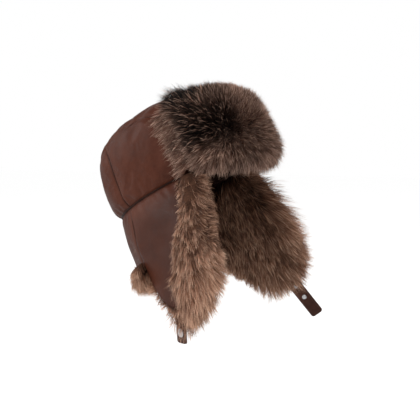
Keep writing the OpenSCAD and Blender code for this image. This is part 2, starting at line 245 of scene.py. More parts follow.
def neck_at(t, h, o):
    x, y = HALF_W * RIM_K * np.cos(t), HALF_L * RIM_K * np.sin(t)
    side = np.cos(t) / math.cos(REAR_ANGLE)
    out = side * (ear_flare(EAR_REAR) * h - 0.0005 * h * h)
    base = np.stack([x + out, y - (1 - side ** 2) * 0.09 * h, -h + 0 * t], -1)
    return base + np.expand_dims(o + swell(h), -1) * brim_normal(x + 0 * h, y + 0 * h)


def visor_at(t, z, o):
    k = 1 - 0.04 * (np.maximum(0, z) / VISOR_H) ** 2
    return np.stack([(HALF_W * k + o) * np.cos(t), (HALF_L * k + o) * np.sin(t), z + 0 * t], -1)


def visor_top(t):
    return VISOR_H - 12 * np.minimum(1.1, np.abs(t - FRONT) / VISOR_HALF) ** 6


# ---------------- building meshes

def raw_mesh(name, verts, corners, sizes, material, smooth_shade=True, check=True):
    """An object from points in metres, the faces' corners in one run and each face's count of corners."""
    mesh = bpy.data.meshes.new(name)
    mesh.vertices.add(len(verts))
    mesh.vertices.foreach_set("co", np.asarray(verts, np.float32).ravel())
    mesh.loops.add(len(corners))
    mesh.loops.foreach_set("vertex_index", corners.astype(np.int32))
    mesh.polygons.add(len(sizes))
    mesh.polygons.foreach_set("loop_start", np.concatenate([[0], np.cumsum(sizes)[:-1]]).astype(np.int32))
    mesh.polygons.foreach_set("loop_total", sizes.astype(np.int32))
    mesh.update(calc_edges=True)
    if check:
        mesh.validate()
    if smooth_shade:
        mesh.polygons.foreach_set("use_smooth", np.ones(len(mesh.polygons), bool))
    obj = bpy.data.objects.new(name, mesh)
    bpy.context.scene.collection.objects.link(obj)
    mesh.materials.append(material)
    return obj


def add_mesh(name, verts, faces, material, smooth_shade=True):
    """An object from points in metres and faces, as an array of equal faces or a list of unequal ones."""
    if isinstance(faces, list):
        sizes, corners = np.array([len(f) for f in faces]), np.concatenate([np.asarray(f) for f in faces])
    else:
        sizes, corners = np.full(len(faces), faces.shape[1]), faces.ravel()
    return raw_mesh(name, verts, corners, sizes, material, smooth_shade)


def mirror_x(p):
    return p * np.array([-1, 1, 1])


def grid(nu, nv):
    return np.meshgrid(np.linspace(0, 1, nu + 1), np.linspace(0, 1, nv + 1), indexing="ij")


def sampled(f, nu, nv):
    """A grid over surface f(u, v, o), and its points at offset 0."""
    gu, gv = grid(nu, nv)
    return gu, gv, f(gu, gv, 0 * gu)


def set_float(obj, name, values):
    a = obj.data.attributes.new(name, "FLOAT", "POINT")
    a.data.foreach_set("value", np.asarray(values, np.float32))


def set_even(obj, name, value):
    set_float(obj, name, np.full(len(obj.data.vertices), value))


def set_sheets(obj, name, outer, inner):
    """An attribute given on the two sheets of a shell."""
    set_float(obj, name, np.concatenate([outer.ravel(), inner.ravel()]))


def shell(name, outer, inner, nu, nv, material, mirror=False, flip=False):
    """A closed skin between two sheets given as arrays of points, (nu + 1) x (nv + 1), in the hat's frame.

    mirror builds it on the right side of the hat, and flip turns its faces over where u x v points inwards.
    """
    row, count = nv + 1, (nu + 1) * (nv + 1)
    pts = np.concatenate([outer.reshape(-1, 3), inner.reshape(-1, 3)])
    if mirror:
        pts = mirror_x(pts)
    i, j = np.meshgrid(np.arange(nu), np.arange(nv), indexing="ij")
    k = (i * row + j).ravel()
    top = np.stack([k, k + 1, k + row + 1, k + row], -1)
    faces = [top, top[:, ::-1] + count]
    j = np.arange(nv)
    faces.append(np.stack([j, j + count, j + 1 + count, j + 1], -1))
    b = nu * row + j
    faces.append(np.stack([b, b + 1, b + 1 + count, b + count], -1))
    a = np.arange(nu) * row
    faces.append(np.stack([a, a + row, a + row + count, a + count], -1))
    b = a + nv
    faces.append(np.stack([b, b + count, b + row + count, b + row], -1))
    faces = np.concatenate(faces)
    if mirror != flip:
        faces = faces[:, ::-1]
    return add_mesh(name, world(pts), faces, material)


PRESSURE, SPARE, MOST = 3.0, 0.015, 2.0  # padding's push, leather's spare width and the most it moves, mm
FRAMES = 20


def settled(sheet, sewn):
    """A sheet of leather, held where sewn is 1, pushed out by the padding and left to settle as cloth.

    sheet holds (nu + 1) x (nv + 1) points in the hat's frame, with its normals outwards.
    """
    nu, nv = sheet.shape[0] - 1, sheet.shape[1] - 1
    i, j = np.meshgrid(np.arange(nu), np.arange(nv), indexing="ij")
    k = (i * (nv + 1) + j).ravel()
    faces = np.stack([k, k + nv + 1, k + nv + 2, k + 1], -1)
    obj = add_mesh("settling", world(sheet.reshape(-1, 3)), faces, LEATHER)
    group = obj.vertex_groups.new(name="sewn")
    level = np.round(sewn.ravel() * 10) / 10
    for w in np.unique(level[level > 0]):
        group.add(np.flatnonzero(level == w).tolist(), float(w), "REPLACE")
    cloth = obj.modifiers.new("cloth", "CLOTH")
    ways = dict(quality=5, mass=0.2, tension_stiffness=20, compression_stiffness=20, shear_stiffness=8,
                bending_stiffness=0.6, vertex_group_mass="sewn", pin_stiffness=2, use_pressure=True,
                uniform_pressure_force=PRESSURE, shrink_min=-SPARE)
    for key, value in ways.items():
        setattr(cloth.settings, key, value)
    cloth.settings.effector_weights.gravity = 0
    cloth.collision_settings.use_collision = False
    cloth.point_cache.frame_start, cloth.point_cache.frame_end = 1, FRAMES
    scene = bpy.context.scene
    for f in range(1, FRAMES + 1):
        scene.frame_set(f)
    shaped = obj.evaluated_get(bpy.context.evaluated_depsgraph_get())
    flat = np.empty(sheet.size, np.float32)
    shaped.data.vertices.foreach_get("co", flat)
    mesh = obj.data
    bpy.data.objects.remove(obj)
    bpy.data.meshes.remove(mesh)
    scene.frame_set(1)
    move = hat(flat.reshape(sheet.shape)) - sheet
    far = np.linalg.norm(move, axis=-1, keepdims=True)
    return sheet + move * np.minimum(1, MOST / np.maximum(far, 1e-6))


def stitches(name, paths, material, pitch=3.6, length=2.5, r=0.32, lift=0.1):
    """Rows of short raised stitches. paths: (points, outward normals) along each row, in the hat's frame."""
    verts, faces = [], []
    ring = np.radians(np.arange(6) * 60)
    for pts, nrm in paths:
        step = np.linalg.norm(np.diff(pts, axis=0), axis=1)
        along = np.concatenate([[0], np.cumsum(step)])
        n = int(along[-1] // pitch)
        if n < 1:
            continue
        mid = (np.arange(n) + 0.5) * along[-1] / n
        at = lambda s, a: np.stack([np.interp(s, along, a[:, c]) for c in range(3)], -1)
        p, q = at(mid - length / 2, pts), at(mid + length / 2, pts)
        nn = unit(at(mid, nrm))
        d = unit(q - p)
        side = unit(np.cross(d, nn))
        nn = np.cross(side, d)
        wide = np.cos(ring)[None, :, None] * side[:, None] * 1.15
        high = np.sin(ring)[None, :, None] * nn[:, None] * 0.8
        rings = []
        for f, share, up in ((0, 0.35, -0.25), (0.2, 0.9, 0.12), (0.8, 0.9, 0.12), (1, 0.35, -0.25)):
            c = p + (q - p) * f + nn * (lift + up * r * 2)
            rings.append(c[:, None] + share * r * (wide + high))
        start = sum(len(x) for x in verts)
        verts.append(np.stack(rings, 1).reshape(-1, 3))
        for s in range(n):
            b = start + s * 24
            for k in range(3):
                for m in range(6):
                    m2 = (m + 1) % 6
                    faces.append([b + k * 6 + m, b + k * 6 + m2, b + k * 6 + 6 + m2, b + k * 6 + 6 + m])
            faces.append([b + m for m in range(5, -1, -1)])
            faces.append([b + 18 + m for m in range(6)])
    return add_mesh(name, world(np.concatenate(verts)), faces, material)


# ---------------- fur

def scatter(f, n, rng):
    """n random places spread evenly over surface f(u, v): u, v, point, normal and unit tangents."""
    gu, gv = grid(72, 48)
    p = f(gu, gv)
    a = np.linalg.norm(np.cross(p[1:, 1:] - p[:-1, :-1], p[1:, :-1] - p[:-1, 1:]), axis=-1)
    pick = rng.choice(a.size, n, p=a.ravel() / a.sum())
    i, j = np.unravel_index(pick, a.shape)
    u = (i + rng.random(n)) / a.shape[0]
    v = (j + rng.random(n)) / a.shape[1]
    e = 0.004
    u0, u1, v0, v1 = np.clip(u - e, 0, 1), np.clip(u + e, 0, 1), np.clip(v - e, 0, 1), np.clip(v + e, 0, 1)
    tu = unit(f(u1, v) - f(u0, v))
    tv = unit(f(u, v1) - f(u, v0))
    return u, v, f(u, v), unit(np.cross(tu, tv)), tu, tv


PER_LOCK, SPREAD = 14, 0.22  # hairs to a lock, and how far hairs and locks stray from the way they lie


def fur(name, root, nrm, flow, length, lift, region, material, seed, width=0.3, clump=0.6, curl=1.2,
        droop=0.25, bend=0.6, mirror=False, guard_share=0.3, coarse_share=0.03):
    """Tapered strands of hair as ribbons. flow is the way the hair lies, lift how far it stands off the skin.

    A share of them are guard hairs: longer, finer, paler and less drawn into locks. A few of those stand out
    as coarse, pale hairs.
    """
    rng = np.random.default_rng(seed)
    n, seg = len(root), 4
    lift = np.broadcast_to(lift, n)[:, None]
    flow = unit(flow)
    centre = rng.choice(n, max(1, n // PER_LOCK), replace=False)
    tree = KDTree(len(centre))
    for k, c in enumerate(centre):
        tree.insert(root[c], k)
    tree.balance()
    owner = np.array([tree.find(p)[1] for p in root])
    head = centre[owner]
    lock = rng.normal(size=(len(centre), 3))
    d0 = unit(nrm * lift + flow * (1 - lift) + SPREAD * (0.6 * rng.normal(size=(n, 3)) + 0.8 * lock[owner]))
    guard = rng.random(n) < guard_share
    coarse = guard & (rng.random(n) < coarse_share)
    long, short = rng.uniform(0.95, 1.25, n), rng.uniform(0.6, 1.0, n)
    length = np.broadcast_to(length, n) * np.where(guard, long, short)
    path = [root]
    for k in range(seg):
        s = (k + 0.5) / seg
        d = unit(d0 + s * (flow * bend + GRAVITY * droop))
        path.append(path[-1] + d * (length / seg)[:, None])
    path = np.stack(path, 1)
    s = np.linspace(0, 1, seg + 1)
    own = path[head] + 0.35 * (root - root[head])[:, None]
    strength = np.clip(rng.normal(clump, 0.15, n) - 0.35 * guard, 0, 0.95)
    w = strength[:, None, None] * (s ** 1.3)[None, :, None]
    path = path * (1 - w) + own * w
    twist = unit(np.cross(d0, lock[owner]))
    phase = rng.uniform(0, 6.28, len(centre))[owner] + rng.normal(0, 0.5, n)
    wave = np.sin(phase[:, None] + 5.0 * s[None])[..., None]
    path = path + (curl * s[None, :, None] * wave) * twist[:, None]
    tangent = unit(np.gradient(path, axis=1))
    face = unit(nrm[:, None] + 0.5 * rng.normal(size=(n, 1, 3)))
    side = unit(np.cross(tangent, face))
    thick = rng.uniform(0.7, 1.3, n) * np.where(coarse, 1.5, np.where(guard, 0.75, 1.0))
    half = width * thick[:, None] * (1.0 - s[None] ** 1.5 * 0.75)
    left = path[:, :-1] - side[:, :-1] * half[:, :-1, None]
    right = path[:, :-1] + side[:, :-1] * half[:, :-1, None]
    verts = np.concatenate([np.stack([left, right], 2).reshape(n, 2 * seg, 3), path[:, -1:]], 1)
    per = 2 * seg + 1
    if mirror:
        verts = mirror_x(verts)
    base = (np.arange(n) * per)[:, None]
    quads = np.concatenate([base + 2 * k + np.array([0, 1, 3, 2]) for k in range(seg - 1)])
    tris = base + np.array([2 * seg - 2, 2 * seg - 1, 2 * seg])
    flat = np.concatenate([quads.ravel(), tris.ravel()])
    sizes = np.concatenate([np.full(len(quads), 4), np.full(len(tris), 3)])
    obj = raw_mesh(name, world(verts).reshape(-1, 3), flat, sizes, material, check=False)
    tip = np.concatenate([np.repeat(s[:-1], 2), [1.0]])
    tone = np.clip(np.where(guard, 0.78, 0.36) + 0.12 * rng.normal(size=n) + 0.2 * lock[owner, 0], 0, 1)
    tone, region = np.where(coarse, 1.0, tone), np.where(coarse, np.maximum(region, 0.9), region)
    set_float(obj, "tip", np.tile(tip, n))
    set_float(obj, "tone", np.repeat(tone, per))
    set_float(obj, "region", np.repeat(region, per))
    return obj


# ---------------- materials

def srgb(text):
    c = [int(text[k:k + 2], 16) / 255 for k in (1, 3, 5)]
    return tuple(x / 12.92 if x <= 0.04045 else ((x + 0.055) / 1.055) ** 2.4 for x in c) + (1.0,)


class Nodes:
    """Short ways to wire a material's nodes."""

    def __init__(self, name):
        self.mat = bpy.data.materials.new(name)
        self.mat.use_nodes = True
        self.tree = self.mat.node_tree
        self.bsdf = self.tree.nodes["Principled BSDF"]

    def add(self, kind, **props):
        node = self.tree.nodes.new(kind)
        for k, v in props.items():
            setattr(node, k, v)
        return node

    def link(self, a, b):
        self.tree.links.new(a, b)

    def put(self, socket, value):
        if hasattr(value, "links"):
            self.link(value, socket)
        else:
            socket.default_value = value

    def texture(self, kind, inputs, **props):
        """The outputs of a procedural texture in the object's own coordinates."""
        n = self.add(kind, **props)
        for k, v in inputs.items():
            n.inputs[k].default_value = v
        self.link(self.add("ShaderNodeTexCoord").outputs["Object"], n.inputs["Vector"])
        return n.outputs

    def noise(self, scale, detail=3.0, rough=0.55, distortion=0.0):
        inputs = {"Scale": scale, "Detail": detail, "Roughness": rough, "Distortion": distortion}
        return self.texture("ShaderNodeTexNoise", inputs)["Fac"]

    def cells(self, scale, feature="F1"):
        return self.texture("ShaderNodeTexVoronoi", {"Scale": scale}, feature=feature)["Distance"]

    def bands(self, scale, distortion=0.0):
        return self.texture("ShaderNodeTexWave", {"Scale": scale, "Distortion": distortion},
                            wave_type="BANDS", bands_direction="DIAGONAL")["Fac"]

    def ramp(self, fac, *stops):
        """A colour ramp through stops of (place, colour as #rrggbb)."""
        n = self.add("ShaderNodeValToRGB")
        r = n.color_ramp
        while len(r.elements) < len(stops):
            r.elements.new(0.5)
        for e, (pos, col) in zip(r.elements, stops):
            e.position = pos
            e.color = srgb(col)
        self.link(fac, n.inputs["Fac"])
        return n.outputs["Color"]

    def mix(self, fac, a, b):
        n = self.add("ShaderNodeMix", data_type="RGBA", blend_type="MIX")
        self.put(n.inputs["Factor"], fac)
        self.put(n.inputs[6], a)
        self.put(n.inputs[7], b)
        return n.outputs[2]

    def math(self, op, a, b, clamp=False):
        n = self.add("ShaderNodeMath", operation=op, use_clamp=clamp)
        self.put(n.inputs[0], a)
        self.put(n.inputs[1], b)
        return n.outputs[0]

    def span(self, value, low, high, a=0.0, b=1.0):
        n = self.add("ShaderNodeMapRange")
        self.put(n.inputs["Value"], value)
        for k, x in (("From Min", low), ("From Max", high), ("To Min", a), ("To Max", b)):
            n.inputs[k].default_value = x
        return n.outputs["Result"]

    def attr(self, name):
        return self.add("ShaderNodeAttribute", attribute_name=name).outputs["Fac"]

    def bump(self, height, strength, distance, normal=None):
        n = self.add("ShaderNodeBump")
        n.inputs["Strength"].default_value = strength
        n.inputs["Distance"].default_value = distance
        self.link(height, n.inputs["Height"])
        if normal is not None:
            self.link(normal, n.inputs["Normal"])
        return n.outputs["Normal"]

    def done(self, color, rough, normal=None, **extra):
        self.put(self.bsdf.inputs["Base Color"], color)
        self.put(self.bsdf.inputs["Roughness"], rough)
        if normal is not None:
            self.link(normal, self.bsdf.inputs["Normal"])
        for k, v in extra.items():
            self.put(self.bsdf.inputs[k.replace("_", " ")], v)
        return self.mat


def leather_material(name, shadow, dark, base, light, grain=1.0, gloss=0.42):
    """Grained leather with paler worn edges (wear) and painted shade, given by an attribute, at seams and
    folds and over the flaps.
    """
    m = Nodes(name)
    cloud = m.noise(14, 4, 0.6)
    fine = m.noise(160, 3, 0.6)
    col = m.ramp(cloud, (0.30, dark), (0.52, base), (0.74, light))
    pores = m.cells(1250)
    creases = m.cells(620, "DISTANCE_TO_EDGE")
    groove = m.span(creases, 0.0, 0.16)
    col = m.mix(m.span(groove, 0, 1, 0.22, 0.0), col, srgb(dark))
    col = m.mix(m.span(fine, 0.35, 0.7, 0.0, 0.25), col, srgb(light))
    wear = m.math("MULTIPLY", m.attr("wear"), m.span(m.noise(90, 4, 0.7), 0.35, 0.65), clamp=True)
    col = m.mix(m.math("MULTIPLY", wear, 0.45), col, srgb(light))
    # painted shade: the attribute mixes the colour towards the shadow colour
    col = m.mix(m.math("MULTIPLY", m.attr("painted_shade"), 0.85), col, srgb(shadow))
    rough = m.math("ADD", m.span(fine, 0.3, 0.7, gloss - 0.05, gloss + 0.10), m.math("MULTIPLY", wear, 0.1))
    normal = m.bump(m.noise(38, 4, 0.55, distortion=0.3), 0.25 * grain, 0.0022)
    normal = m.bump(groove, 0.42 * grain, 0.00022, normal)
    normal = m.bump(pores, 0.22 * grain, 0.00010, normal)
    return m.done(col, rough, normal, Specular_IOR_Level=0.16)


def fur_material(name, root_dark, mid_dark, tip_dark, root_light, mid_light, tip_light):
    """Hair coloured from root to tip, between a dark coat (region 0) and a light one (region 1)."""
    m = Nodes(name)
    tone, region = m.attr("tone"), m.attr("region")
    tip = m.math("MULTIPLY", m.attr("tip"), m.span(tone, 0.2, 0.8, 0.62, 1.0))
    dark = m.ramp(tip, (0.0, root_dark), (0.5, mid_dark), (0.96, tip_dark))
    light = m.ramp(tip, (0.0, root_light), (0.5, mid_light), (0.96, tip_light))
    patch = m.math("ADD", region, m.span(m.noise(30, 3, 0.6), 0.3, 0.7, -0.16, 0.16), clamp=True)
    col = m.mix(patch, dark, light)
    shade = m.span(tone, 0.0, 1.0, 0.55, 1.5)
    scale = m.add("ShaderNodeVectorMath", operation="SCALE")
    m.link(col, scale.inputs[0])
    m.link(shade, scale.inputs["Scale"])
    rough = m.span(tone, 0, 1, 0.6, 0.42)
    return m.done(scale.outputs[0], rough, None, Specular_IOR_Level=0.2)


def pelt_material(name, dark, light):
    """The dense short undercoat the long hair grows through."""
    m = Nodes(name)
    tuft = m.noise(420, 5, 0.75, distortion=1.2)
    lock = m.noise(70, 3, 0.6, distortion=0.6)
    depth = m.math("ADD", m.math("MULTIPLY", tuft, 0.6), m.math("MULTIPLY", lock, 0.4))
    col = m.ramp(depth, (0.35, dark), (0.65, light))
    col = m.mix(m.attr("region"), m.mix(0.55, col, srgb(dark)), col)
    normal = m.bump(lock, 0.8, 0.004)
    normal = m.bump(tuft, 0.9, 0.0015, normal)
    return m.done(col, 0.85, normal, Specular_IOR_Level=0.1)


def felt_material(name, dark, light, scale=900):
    m = Nodes(name)
    fibre = m.noise(scale, 5, 0.7, distortion=2.5)
    col = m.ramp(fibre, (0.3, dark), (0.7, light))
    normal = m.bump(fibre, 0.6, 0.0006)
    return m.done(col, 0.9, normal, Specular_IOR_Level=0.2, Sheen_Weight=0.25)


def satin_material(name, dark, base):
    """Lining satin: a fine diagonal weave with a soft gloss."""
    m = Nodes(name)
    weave = m.bands(700, 1.5)
    cloud = m.noise(40, 3, 0.5)
    col = m.mix(m.span(weave, 0, 1, 0, 0.35), m.ramp(cloud, (0.3, dark), (0.7, base)), srgb(dark))
    rough = m.span(cloud, 0.3, 0.7, 0.28, 0.42)
    return m.done(col, rough, m.bump(weave, 0.18, 0.00012), Specular_IOR_Level=0.6, Sheen_Weight=0.2,
                  Anisotropic=0.5)


def thread_material(name, dark, light):
    m = Nodes(name)
    twist = m.bands(900)
    return m.done(m.mix(twist, srgb(dark), srgb(light)), 0.55, m.bump(twist, 0.5, 0.0002), Sheen_Weight=0.2)


def metal_material(name):
    m = Nodes(name)
    marks = m.noise(2200, 4, 0.7)
    cloud = m.noise(120, 3, 0.6)
    col = m.ramp(cloud, (0.3, "#b9b9bc"), (0.7, "#dcdcde"))
    polish = m.math("ADD", m.math("MULTIPLY", cloud, 0.6), m.math("MULTIPLY", marks, 0.4))
    rough = m.span(polish, 0.35, 0.65, 0.16, 0.34)
    return m.done(col, rough, m.bump(marks, 0.12, 0.00005), Metallic=1.0)


LEATHER = leather_material("shell_leather", "#150905", "#432014", "#552b1c", "#673a2a")
BAND_LEATHER = leather_material("sweatband_leather", "#0d0605", "#21130f", "#2e1b15", "#432a21", 0.8, 0.5)
STRAP_LEATHER = leather_material("strap_leather", "#110806", "#2b1610", "#40231b", "#5e392d", 0.9, 0.42)
SEAM_THREAD = thread_material("seam_thread", "#3a1f18", "#6a4638")
VISOR_FUR = fur_material("visor_fur", "#030201", "#080403", "#22150e", "#33201a", "#7a5646", "#cfac98")
FLAP_FUR = fur_material("flap_fur", "#150b07", "#402519", "#a0745a", "#4a2e22", "#9c7058", "#dcb89e")
VISOR_PELT = pelt_material("visor_pelt", "#060302", "#2c1b14")
FLAP_PELT = pelt_material("flap_pelt", "#2c1b13", "#6a4837")
FELT = felt_material("interlining_felt", "#6b6258", "#8f8474")
WADDING = felt_material("padding_wadding", "#b9b2a4", "#d8d2c6", 500)
SATIN = satin_material("quilted_satin", "#1d110d", "#3a241c")
METAL = metal_material("nickel")


# ---------------- crown

def on_crown(obj, slot, *nodes):
    """A piece that rides on the crown."""
    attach(obj, "crown")
    if nodes:
        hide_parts(*nodes)


def recolour(material, *nodes):
    """Gives CAD solids that keep their shape another material."""
    for node in nodes:
        frame["nodes"][node].data.materials.clear()
        frame["nodes"][node].data.materials.append(material)


def edge_distance(p):
    """Distance in millimetres, along a grid's rows and columns, to the nearest of its four edges."""
    far = []
    for axis in (0, 1):
        step = np.linalg.norm(np.diff(p, axis=axis), axis=-1)
        pad = [(1, 0) if k == axis else (0, 0) for k in (0, 1)]
        run = np.cumsum(np.pad(step, pad), axis=axis)
        far += [run, run.max(axis=axis, keepdims=True) - run]
    return np.minimum.reduce(far)


TOUCH = 0.06  # how much closer the rows lie at the seams


def crown_skin(name, f, nu, nv, mirror, turned=True):
    """A panel of crown leather: tucked in at its seams, dented, and settled as cloth over its padding."""
    gu, gv = grid(nu, nv)
    gu = gu - TOUCH * np.sin(4 * math.pi * gu) / math.pi
    gv = gv - (TOUCH * np.sin(4 * math.pi * gv) / math.pi if turned else 0)
    p = f(gu, gv, 0 * gu)
    d = edge_distance(p)
    q = mirror_x(p) if mirror else p
    puff = 1.9 * (1 - np.exp(-d / 16)) - 2.0 * ridge(d, 0, 2.6)
    along = q[..., 1] * 0.8 + q[..., 0] * 0.6 + 4 * waves(q, 5, 60)
    gather = 0.5 * np.sin(2 * math.pi * along / 17) * ridge(d, 7, 6)
    dents = 0.9 * waves(q, 11, 75) + 0.35 * waves(q, 12, 30)
    o = puff + gather + dents * smooth(d, 2, 22)
    outer, inner = f(gu, gv, o), f(gu, gv, np.minimum(o - 1.2, -1.2))
    sewn = 1 - smooth(d, 1.5, 5)
    order = slice(None, None, -1 if turned else None)
    outer = settled(outer[order], sewn[order])[order]
    obj = shell(name, outer, inner, nu, nv, LEATHER, mirror, flip=turned)
    # painted shade along the seams, where the leather is tucked in
    painted_shade = ridge(d, 0, 1.3)
    set_sheets(obj, "wear", ridge(d, 3.2, 1.6), 0 * d)
    set_sheets(obj, "painted_shade", painted_shade, painted_shade)
    on_crown(obj, "shell_leather", name)


crown_skin("crown_centre_panel", centre_strip, 96, 160, False, False)
for side, mirror in SIDES:
    crown_skin(f"crown_{side}_panel", side_panel, 100, 70, mirror)
    crown_skin(f"crown_{side}_rear_gusset", rear_gusset, 44, 60, mirror)

recolour(WADDING, "crown_padding_centre", "crown_padding_right", "crown_padding_left")


MEAN_RADIUS = 95.0  # of the brim, which turns angles round the hat into lengths
QUILT = 26.0  # size of the lining's quilted diamonds


def quilted(name, f, nu, nv, mirror, flip):
    """A piece of the crown's lining, stitched down in diamonds."""
    gu, gv = grid(nu, nv)
    p = f(gu, gv, 0 * gu - 9.6)
    turn = np.arctan2(p[..., 1], p[..., 0]) * MEAN_RADIUS
    a, b = (turn + p[..., 2]) / QUILT, (turn - p[..., 2]) / QUILT
    puff = np.abs(np.sin(math.pi * a) * np.sin(math.pi * b)) ** 0.45
    o = -9.3 - 2.2 * puff - 0.25 * waves(p, 21, 14)
    inner, outer = f(gu, gv, o), f(gu, gv, 0 * gu - 8.9)
    on_crown(shell(name, outer, inner, nu, nv, SATIN, mirror, flip), "quilted_lining", name)


quilted("crown_lining_centre", centre_strip, 90, 150, False, False)
for side, mirror in SIDES:
    quilted(f"crown_lining_{side}", lambda u, v, o: side_panel(u, v, o, False), 110, 60, mirror, True)


def ring_at(t, o, z):
    """Places round the brim at angle t and height z, offset o outwards."""
    k = tuck(z)
    return np.stack([(HALF_W + o) * k * np.cos(t), (HALF_L + o) * k * np.sin(t), z + 0 * t], -1)


gu, gv = grid(240, 10)
t, z = np.radians(90 + 360 * gu), 0.4 + 33 * gv
p = ring_at(t, -11.8 + 0 * t, z)
o = 0.35 * waves(p, 31, 25) - 0.7 * smooth(gv, 0.85, 1.0) - 11.8
obj = shell("sweatband", ring_at(t, o + 0.7, z), ring_at(t, o - 0.7, z), 240, 10, BAND_LEATHER, flip=True)
set_sheets(obj, "wear", 0 * gv, smooth(gv, 0.9, 1.0))
on_crown(obj, "sweatband_leather", "sweatband")

# The turned-under edge that closes the brim between the crown leather and the sweatband
gu, gv = grid(240, 6)
t, arc = np.radians(90 + 360 * gu), math.pi * gv
across = -5.6 + 6.2 * np.cos(arc)
under = ring_at(t, across, 0.3 - 1.9 * np.sin(arc))
over = ring_at(t, across * 0.8 - 1.1, 1.2 - 1.7 * np.sin(arc))
obj = shell("brim_tape", under, over, 240, 6, BAND_LEATHER)
set_even(obj, "wear", 0.0)
on_crown(obj, "sweatband_leather")


def row_on(f, us, vs, o):
    """A row of places on surface f at offset o, and the normals there."""
    p = f(us, vs, 0 * us + o)
    n = unit(f(us, vs, 0 * us + o + 1) - p)
    return p, n


def inset(f, v, gap):
    """Places across f, one for each v, that lie a gap in from its first edge."""
    us = np.linspace(0, 0.3, 80)[None] + 0 * v[:, None]
    p = f(us, v[:, None] + 0 * us, 0 * us)
    run = np.cumsum(np.pad(np.linalg.norm(np.diff(p, axis=1), axis=-1), [(0, 0), (1, 0)]), axis=1)
    return np.array([np.interp(gap, r, us[0]) for r in run])


v = np.linspace(0.03, 0.97, 400)
u = inset(centre_strip, v, 3.6)
paths = [row_on(centre_strip, us, v, -0.55) for us in (u, 1 - u)]
on_crown(stitches("crown_topstitch", paths, SEAM_THREAD), "shell_leather")


# ---------------- flaps

ROLL_END = 0.87  # where along the ear flap's edge the fur roll runs out
FRONT_CORNER = 0.42  # where along that edge the front ends and the hem starts
FLAP_HAIRS, ROLL_HAIRS = 27000, 33000
NECK_HAIRS, NECK_ROLL_HAIRS = 20000, 9000
VISOR_HAIRS = 76000
PELT_BACK, PELT_FACE = -5.8, -6.2  # offsets of the lining pelt's two faces
REAR_X = HALF_W * RIM_K * math.cos(REAR_ANGLE)


def joiner(start, end, mirror=False):
    """A function that bakes a soft piece's place into its mesh and hides the CAD parts it stands in for. The
    two places in the hat are not used.
    """
    if mirror:
        start, end = mirror_x(start), mirror_x(end)

    def join(obj, slot, *nodes):
        tuple(world(start))
        tuple(world(end))
        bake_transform(obj)
        if nodes:
            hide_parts(*nodes)
    return join


def ear_patch(front, rear, top, reach):
    """Part of an ear flap, between two places along the brim, from depth top to reach past its hem."""
    def f(u, v, o):
        g = front + (rear - front) * u
        c = np.clip(g, EAR_FRONT, EAR_REAR)
        return ear_at(g, top + (ear_drop(c) + reach - top) * v, o)
    return f


def ear_edge(q):
    """The ear flap's edge, down its front and back along its hem, as (place along the brim, depth)."""
    drop = ear_drop(np.array(EAR_FRONT))
    g = EAR_FRONT + (EAR_REAR - EAR_FRONT) * np.clip((q - FRONT_CORNER) / (1 - FRONT_CORNER), 0, 1)
    return np.stack([g, np.where(q < FRONT_CORNER, 2 + (drop - 2) * q / FRONT_CORNER, ear_drop(g))], -1)


def ear_out(q):
    a, b = ear_edge(np.clip(q - 0.1, 0, 1)), ear_edge(np.clip(q + 0.1, 0, 1))
    return unit(np.stack([a[..., 1] - b[..., 1], b[..., 0] - a[..., 0]], -1))


def roll_share(q):
    return 1 - 0.97 * smooth(q, 0.6, ROLL_END)


def ear_roll(u, v, o):
    """The fur roll over an ear flap's front edge and hem: u along it, v across from the leather outwards."""
    u = u * ROLL_END
    e, w, k = ear_edge(u), ear_out(u), roll_share(u)
    inner = 21 + 24 * smooth(u, 0.1, 0.38) * (1 - smooth(u, 0.56, 0.74))
    s = k * (-inner + (inner + 4) * v)
    g = np.minimum(EAR_REAR - 0.5, e[..., 0] + s * w[..., 0])
    return ear_at(g, np.maximum(2, e[..., 1] + s * w[..., 1]), o)


def roll_height(u, v):
    return 9.5 * roll_share(u * ROLL_END) * pillow(v, 3)


def drape(p, h):
    return (1.5 * waves(p, 41, 95) + 0.5 * waves(p, 42, 34)) * smooth(h, 4, 60)


def layer(name, f, size, outer, inner, material, mirror=False, flip=False):
    """A skin between two offsets of surface f(u, v, o)."""
    gu, gv = grid(*size)
    return shell(name, f(gu, gv, 0 * gu + outer), f(gu, gv, 0 * gu + inner), *size, material, mirror, flip)


def flap_leather(name, f, size, hang, along, seam, shade, mirror, flip=False):
    """A flap's leather: hung in soft folds, gathered along the brim and tucked in at its seams."""
    gu, gv, p = sampled(f, *size)
    h = -p[..., 2]
    o = hang - 0.7 * ridge(seam, 0, 2.2) - 1.2 * ridge(h, 0, 3.0)
    o = o + 0.5 * np.sin(2 * math.pi * along / 15) * ridge(h, 9, 8)
    obj = layer(name, f, size, o, o - 1.5, LEATHER, mirror, flip)
    # painted shade: the given shade plus a dark band just below the brim seam
    painted_shade = shade + ridge(h, -1.5, 4)
    set_sheets(obj, "wear", ridge(seam, 3, 2) + smooth(gv, 0.97, 1.0), 0 * h)
    set_sheets(obj, "painted_shade", painted_shade, painted_shade)
    return obj


def interlining(name, f, size, hang, mirror, flip=False):
    o = np.minimum(hang - 1.8, -2.3)
    return layer(name, f, size, o, o - 1.4, FELT, mirror, flip)


def lining_pelt(name, f, size, lump, seed, mirror, flip=False):
    gu, gv, p = sampled(f, *size)
    face = PELT_FACE - lump(gu, gv) - 0.8 * np.abs(waves(p, seed, 12))
    obj = layer(name, f, size, PELT_BACK, face, FLAP_PELT, mirror, flip)
    set_even(obj, "region", 0.5)
    return obj


def rooted(skin, n, rng, sign):
    """Places for hair on a skin, with normals that point outwards (sign 1) or towards the head (sign -1)."""
    u, v, root, nrm, tu, tv = scatter(skin, n, rng)
    out = sign * brim_normal(root[:, 0], root[:, 1])
    return u, v, root, np.where((nrm * out).sum(-1, keepdims=True) < 0, -nrm, nrm), tu, tv


